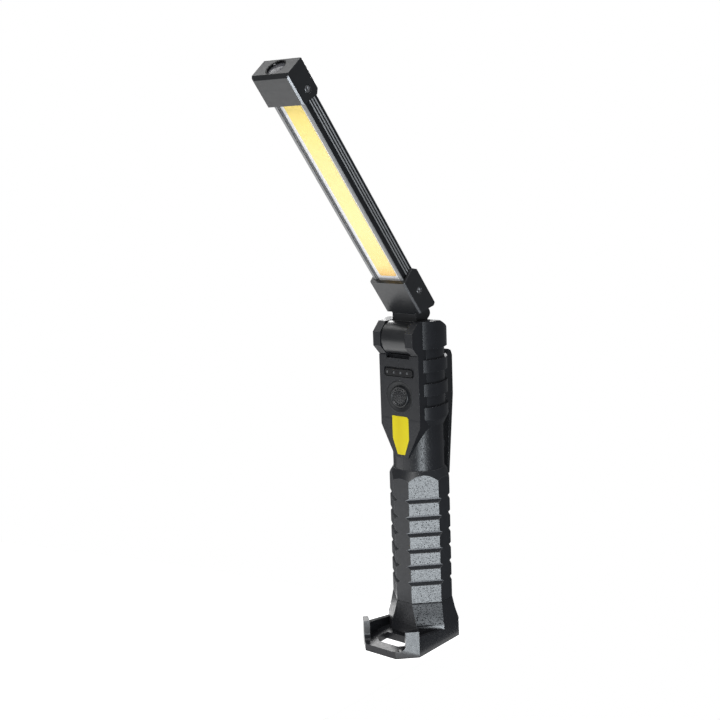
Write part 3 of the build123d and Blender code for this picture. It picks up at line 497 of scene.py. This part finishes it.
def rounded_copy(node, name, materials, width_mm, segments=2, special=None):
    """A welded copy of a CAD node with rounded edges, which takes the node's place.

    The last material goes on the rounded edges, and special gives the number of each face's own.
    """
    weld = 0.004 * MM
    flat = math.radians(0.4)
    sharp = math.radians(28.0)
    bm = bmesh.new()
    bm.from_mesh(frame["nodes"][node].data)
    bmesh.ops.remove_doubles(bm, verts=bm.verts, dist=weld)
    bmesh.ops.dissolve_limit(bm, angle_limit=flat, verts=bm.verts, edges=bm.edges)
    for face in bm.faces:
        face.material_index = int(special(face)) if special else 0
    piece = finish_piece(name, bm, materials, BODY_OF[node], (node,))
    bevel = piece.modifiers.new("rounding", "BEVEL")
    bevel.width = width_mm * MM
    bevel.segments = segments
    bevel.limit_method = "ANGLE"
    bevel.angle_limit = sharp
    bevel.profile = 0.5
    bevel.miter_outer = "MITER_ARC"
    bevel.material = len(materials) - 1
    shading = piece.modifiers.new("even_shading", "WEIGHTED_NORMAL")
    shading.keep_sharp = True
    return piece


def place(bm, matrix):
    """Moves everything in a bmesh."""
    bmesh.ops.transform(bm, matrix=matrix, verts=bm.verts)


def revolve(bm, verts, edges, steps):
    """Spins an outline once round Z and closes the seam and the poles."""
    bmesh.ops.spin(bm, geom=verts + edges, cent=(0, 0, 0), axis=UP, angle=math.tau, steps=steps,
                   use_merge=True)
    bmesh.ops.remove_doubles(bm, verts=bm.verts, dist=WELD)


def open_outline(bm, points):
    """Vertices and edges through (radius, height) points."""
    verts = [bm.verts.new((radius, 0, height)) for radius, height in points]
    edges = [bm.edges.new(pair) for pair in zip(verts, verts[1:])]
    return verts, edges


def merge(target, source):
    """Moves the contents of one bmesh into another."""
    scratch = bpy.data.meshes.new("scratch")
    source.to_mesh(scratch)
    source.free()
    target.from_mesh(scratch)
    bpy.data.meshes.remove(scratch)


def facing(point, direction):
    """A matrix that takes +Z to a direction and the origin to a point."""
    turn = Vector(direction).to_track_quat("Z", "Y").to_matrix().to_4x4()
    return Matrix.Translation(Vector(point)) @ turn


def cross_outline(arm, half):
    """Twelve points of a cross, anticlockwise."""
    corner = [(half, half), (half, arm), (-half, arm)]
    points = []
    for quarter in range(4):
        turn = Matrix.Rotation(quarter * math.pi / 2, 2)
        points += [turn @ Vector(point) for point in corner]
    return points


def cross_screw(head_r, head_h, shank_r, shank_l):
    """A pan-head screw with a cross recess; its seat is at z = 0 and its head points along +Z."""
    bm = bmesh.new()
    dome = head_h * 0.35
    point = shank_r * 0.6
    shank = [(0, -shank_l), (point, -shank_l), (shank_r, -shank_l + point), (shank_r, 0)]
    head = [(head_r, 0), (head_r, head_h - dome)]
    crown = [(head_r * 0.92, head_h - dome * 0.4), (head_r * 0.78, head_h)]
    revolve(bm, *open_outline(bm, shank + head + crown), steps=24)
    rim = [e for e in bm.edges if e.is_boundary]

    cross = cross_outline(head_r * 0.62, head_r * 0.16)
    corners = [bm.verts.new((p.x, p.y, head_h)) for p in cross]
    sides = [bm.edges.new(pair) for pair in zip(corners, corners[1:] + corners[:1])]
    bmesh.ops.triangle_fill(bm, use_beauty=True, edges=rim + sides, normal=UP)
    open_edges = [e for e in sides if e.is_valid and e.is_boundary]
    walls = bmesh.ops.extrude_edge_only(bm, edges=open_edges)["geom"]
    low = [v for v in walls if isinstance(v, bmesh.types.BMVert)]
    recess = -head_h * 0.55
    bmesh.ops.translate(bm, vec=(0, 0, recess), verts=low)
    bmesh.ops.scale(bm, vec=(0.72, 0.72, 1), verts=low)
    floor_edges = [e for e in walls if isinstance(e, bmesh.types.BMEdge) and e.is_boundary]
    bmesh.ops.contextual_create(bm, geom=floor_edges)
    bmesh.ops.recalc_face_normals(bm, faces=bm.faces)
    return bm


# ---------------------------------------------------------------- pieces
SCREW_HEAD_R = 2.3 * MM
SCREW_SHANK_R = 1.2 * MM


def moulded_parts():
    """Rounded copies of the parts that show."""
    # the edge materials put painted highlights on the rounded edges
    rounded_copy("left_shell", "left_shell_cover", ["shell_black", "shell_edge"], 0.28)
    rounded_copy("right_shell", "right_shell_cover", ["shell_black", "shell_edge"], 0.28)
    grip = ["grip_black", "grip_pads", "grip_lip", "grip_edge"]
    rounded_copy("grip_sleeve", "soft_grip", grip, 0.4, special=grip_zone)
    foot = ["foot_black", "foot_corners", "shell_edge"]
    rounded_copy("foot_cradle", "cradle", foot, 0.35, special=is_low_corner)
    rounded_copy("base_cover", "base_plate", ["foot_black", "shell_edge"], 0.2)
    rounded_copy("port_cover", "port_flap_cover", ["flap_rubber"], 0.3)
    rounded_copy("clip_arm", "clip_strip", ["clip_black", "shell_edge"], 0.5, 3)
    rounded_copy("clip_base", "clip_bracket", ["clip_black", "shell_edge"], 0.2)
    rounded_copy("hinge_arm", "knuckle", ["cap_black", "shell_edge"], 0.35, 3)
    # the caps' long bevels and rounded edges get painted highlights
    cap_finishes = ["cap_black", "cap_bevel_highlight", "cap_edge"]
    for cap in ("lower_cap", "upper_cap"):
        rounded_copy(cap, cap + "_shell", cap_finishes, 0.22, special=is_long_bevel)
    # fin crests and rail fronts get the painted highlight
    bar = ["bar_anodised", "bar_edge", "bar_edge"]
    rounded_copy("light_bar", "finned_bar", bar, 0.12, special=is_bright_rail)
    rounded_copy("button_bezel", "button_ring", ["bezel_gloss"], 0.2)
    rounded_copy("label_plate", "label_sheet", ["label_yellow"], 0.06, 1)
    rounded_copy("indicator_window", "indicator_pane", ["window_smoked"], 0.15)


def knurled_button():
    """Soft button: a dome of coarse bumps inside a raised rim."""
    low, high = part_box("power_button")
    middle = (low + high) / 2
    front = low[Y]
    back = (low[Y] - high[Y]) / MM
    flange_front = back + 0.7
    hollow_roof = back + 1.65
    pusher_end = back + 0.55
    button_r, flange_r, hollow_r, pusher_r = 6.9, 8.2, 5.2, 1.9
    face = [(0, -0.35), (2.0, -0.38), (4.0, -0.52)]
    rim = [(5.75, -0.75), (5.9, -0.42), (6.15, -0.25), (6.5, -0.28), (6.75, -0.5), (button_r, -0.9)]
    flange = [(button_r, flange_front), (flange_r, flange_front), (flange_r, back)]
    hollow = [(hollow_r, back), (hollow_r, hollow_roof), (pusher_r, hollow_roof)]
    pusher = [(pusher_r, pusher_end), (0, pusher_end)]
    outline = [(r * MM, z * MM) for r, z in face + rim + flange + hollow + pusher]
    bm = bmesh.new()
    revolve(bm, *open_outline(bm, outline), steps=64)
    bmesh.ops.recalc_face_normals(bm, faces=bm.faces)

    ring_step = 1.62 * MM
    ring_twist = 0.35
    bump_turn = 0.6
    bump_z = -0.42 * MM
    bump_size = Matrix.Diagonal((0.62 * MM, 0.44 * MM, 0.4 * MM, 1))
    for ring, count in enumerate((1, 6, 11, 16)):
        reach = ring * ring_step
        for index in range(count):
            angle = math.tau * index / count + ring_twist * ring
            spot = Vector((reach * math.cos(angle), reach * math.sin(angle), bump_z))
            turn = Matrix.Rotation(angle + bump_turn, 4, "Z")
            bump = Matrix.Translation(spot) @ turn @ bump_size
            bmesh.ops.create_icosphere(bm, subdivisions=2, radius=1.0, matrix=bump)
    place(bm, facing((middle[X], front, middle[Z]), (0, -1, 0)))
    body = BODY_OF["power_button"]
    finish_piece("knurled_button", bm, ["button_rubber"], body, ("power_button",))


def screw_set(node, name, places, head_h_mm, shank_l_mm):
    """Cross-head screws in place of a node's plain ones; places are (seat, outward direction)."""
    first_turn = 0.5
    next_turn = 0.9
    bm = bmesh.new()
    for index, (seat, outward) in enumerate(places):
        screw = cross_screw(SCREW_HEAD_R, head_h_mm * MM, SCREW_SHANK_R, shank_l_mm * MM)
        turn = Matrix.Rotation(first_turn + next_turn * index, 4, "Z")
        place(screw, facing(seat, outward) @ turn)
        merge(bm, screw)
    finish_piece(name, bm, ["screw_black"], BODY_OF[node], (node,))


def screws():
    """Every set of screws that can be seen."""
    cap_x, cap_t = 12.7, 19.9
    cap_seats = [(sign, s) for s in (23.7, 179.4) for sign in (-1, 1)]
    side = []
    for sign, s in cap_seats:
        seat = HEAD @ Vector((sign * cap_x * MM, cap_t * MM, s * MM))
        side.append((seat, (sign, 0, 0)))
    screw_set("cap_screws", "cap_side_screws", side, 0.85, 3.6)

    back = HEAD.to_3x3() @ Vector((0, 1, 0))
    rear = [(HEAD @ Vector((x * MM, 26.1 * MM, 18.5 * MM)), back) for x in (-4.0, 4.0)]
    screw_set("arm_screws", "knuckle_screws", rear, 1.2, 9.5)

    shell_x = -9.0 * MM
    shell_seats = ((8.5, 193.0), (11.0, 155.0), (8.6, 130.0), (0.0, 104.5), (0.0, 27.5))
    shell = [((shell_x, y * MM, z * MM), (-1, 0, 0)) for y, z in shell_seats]
    screw_set("shell_screws", "shell_side_screws", shell, 1.6, 14.8)

    base_z = 1.2 * MM
    base = [((x * MM, y * MM, base_z), (0, 0, -1)) for x in (-13.6, 13.6) for y in (-5.5, 5.5)]
    screw_set("base_cover_screws", "base_plate_screws", base, 0.95, 7.2)


def indicator_dots():
    """Four small marks on the smoked pane's face."""
    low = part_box("indicator_window")[0]
    mark_y = low[Y] - 0.005 * MM
    mark_z = 180.7 * MM
    mark_size = Matrix.Diagonal((1.1 * MM, 0.05 * MM, 1.7 * MM, 1))
    bm = bmesh.new()
    for x in (-9.95, -4.65, 0.65, 5.95):
        spot = Matrix.Translation((x * MM, mark_y, mark_z))
        made = bmesh.ops.create_cube(bm, size=1.0, matrix=spot @ mark_size)
        edges = {e for v in made["verts"] for e in v.link_edges}
        across = [e for e in edges if abs(e.verts[0].co.y - e.verts[1].co.y) > 0.01 * MM]
        bmesh.ops.bevel(bm, geom=across, offset=0.3 * MM, segments=3, affect="EDGES", profile=0.5,
                        material=-1)
    body = BODY_OF["indicator_window"]
    finish_piece("indicator_dots", bm, ["dot_grey"], body)


def torch_seal():
    """Rubber ring round the torch lens."""
    ring_r = 6.25 * MM
    cord_r = 0.32 * MM
    seat = Matrix.Translation((0, 19.3 * MM, 195.1 * MM))
    upright = Matrix.Translation((ring_r, 0, 0)) @ Matrix.Rotation(math.pi / 2, 4, "X")
    bm = bmesh.new()
    made = bmesh.ops.create_circle(bm, cap_ends=False, segments=12, radius=cord_r, matrix=upright)
    edges = list({e for v in made["verts"] for e in v.link_edges})
    revolve(bm, made["verts"], edges, steps=64)
    bmesh.ops.recalc_face_normals(bm, faces=bm.faces)
    place(bm, HEAD @ seat)
    finish_piece("torch_seal", bm, ["seal_rubber"], BODY_OF["torch_lens"])


def hidden_and_clear_nodes():
    """Finishes for every CAD node that keeps its own shape."""
    for node, piece in frame["nodes"].items():
        slot = SLOT_OF[node]
        if node == "cob_lens":
            slot = "cover_clear"
        piece.data.materials.clear()
        piece.data.materials.append(MATERIALS[slot])


# ---------------------------------------------------------------- stage
def floor():
    """Plain pale floor that gives off its own light and ends where the low softbox shines past."""
    behind_foot = [(0.027, 0.031), (-0.03, 0.031), (-0.22, 0.0), (-0.52, -0.08)]
    in_front = [(-0.52, -0.5), (0.027, -0.5)]
    bm = bmesh.new()
    bm.faces.new([bm.verts.new((x, y, 0.0)) for x, y in behind_foot + in_front])
    mesh = bpy.data.meshes.new("studio_floor")
    bm.to_mesh(mesh)
    bm.free()
    piece = bpy.data.objects.new("studio_floor", mesh)
    bpy.context.scene.collection.objects.link(piece)
    finish = Finish("studio_floor", roughness=0.9, specular=0.1)
    finish.colour(finish.blend(finish.noise(400.0), (0.86, 0.86, 0.86), (0.88, 0.88, 0.88)))
    finish.shader.inputs["Emission Color"].default_value = (1.0, 1.0, 1.0, 1.0)
    finish.shader.inputs["Emission Strength"].default_value = 1.0
    mesh.materials.append(finish.material)


def softbox(name, at, look, size, power, tint=(1.0, 1.0, 1.0)):
    """A soft rectangular light that faces a point."""
    light = bpy.data.lights.new(name, "AREA")
    light.shape = "RECTANGLE"
    light.size, light.size_y = size
    light.energy = power
    light.color = tint
    lamp = bpy.data.objects.new(name, light)
    lamp.location = at
    lamp.rotation_euler = (Vector(look) - Vector(at)).to_track_quat("-Z", "Y").to_euler()
    bpy.context.scene.collection.objects.link(lamp)


def surround():
    """A backdrop that is white to look at, while the pieces are lit by a much dimmer one."""
    world = bpy.data.worlds.new("surround")
    world.use_nodes = True
    tree = world.node_tree
    backdrop = tree.nodes["Background"]
    backdrop.inputs["Color"].default_value = (1.0, 1.0, 1.0, 1.0)
    backdrop.inputs["Strength"].default_value = 1.0
    fill = tree.nodes.new("ShaderNodeBackground")
    fill.inputs["Color"].default_value = (0.93, 0.96, 1.0, 1.0)
    fill.inputs["Strength"].default_value = 0.16
    rays = tree.nodes.new("ShaderNodeLightPath")
    choose = tree.nodes.new("ShaderNodeMixShader")
    tree.links.new(rays.outputs["Is Camera Ray"], choose.inputs["Fac"])
    tree.links.new(fill.outputs["Background"], choose.inputs[1])
    tree.links.new(backdrop.outputs["Background"], choose.inputs[2])
    tree.links.new(choose.outputs["Shader"], tree.nodes["World Output"].inputs["Surface"])
    bpy.context.scene.world = world


def studio():
    """Two cool softboxes to the right, a key above the viewer, and fill from above and behind."""
    surround()
    bpy.context.scene.view_settings.view_transform = "Standard"
    cool = (0.88, 0.95, 1.0)
    softbox("front_light", (0.80, -0.63, -0.32), (0.0, -0.03, 0.06), (0.40, 0.24), 5.4, cool)
    softbox("band_light", (0.80, -0.63, -0.02), (0.0, -0.03, 0.16), (0.40, 0.26), 4.6, cool)
    softbox("key_light", (0.15, -1.0, 0.85), (0.0, -0.03, 0.16), (0.4, 0.4), 8.0)
    softbox("down_light", (0.05, 0.2, 1.3), (0.0, 0.05, 0.0), (0.8, 0.8), 10.0)
    softbox("back_light", (-0.8, 0.75, 0.7), (0.0, 0.0, 0.15), (0.5, 0.5), 6.0)
    softbox("tip_light", (-0.52, -0.13, 0.98), (0.0, -0.13, 0.36), (0.4, 0.4), 1.5)


CAMERA_AT = (0.4583, -0.6104, 0.3211)
CAMERA_LOOK = (-0.0290, -0.0218, 0.1872)
CAMERA_ROLL = math.radians(-2.1)
CAMERA_LENS = 59.64


def camera():
    """The viewing angle from the right of the button face."""
    eye = bpy.data.objects.new("camera", bpy.data.cameras.new("camera"))
    eye.data.lens = CAMERA_LENS
    eye.data.sensor_width = 36.0
    eye.data.clip_start = 0.01
    direction = Vector(CAMERA_LOOK) - Vector(CAMERA_AT)
    turn = direction.to_track_quat("-Z", "Y") @ Quaternion((0, 0, 1), CAMERA_ROLL)
    eye.rotation_mode = "QUATERNION"
    eye.rotation_quaternion = turn
    eye.location = CAMERA_AT
    bpy.context.scene.collection.objects.link(eye)
    bpy.context.scene.camera = eye


MATERIALS = make_materials()
camera()
floor()
studio()
hidden_and_clear_nodes()
moulded_parts()
knurled_button()
screws()
indicator_dots()
torch_seal()
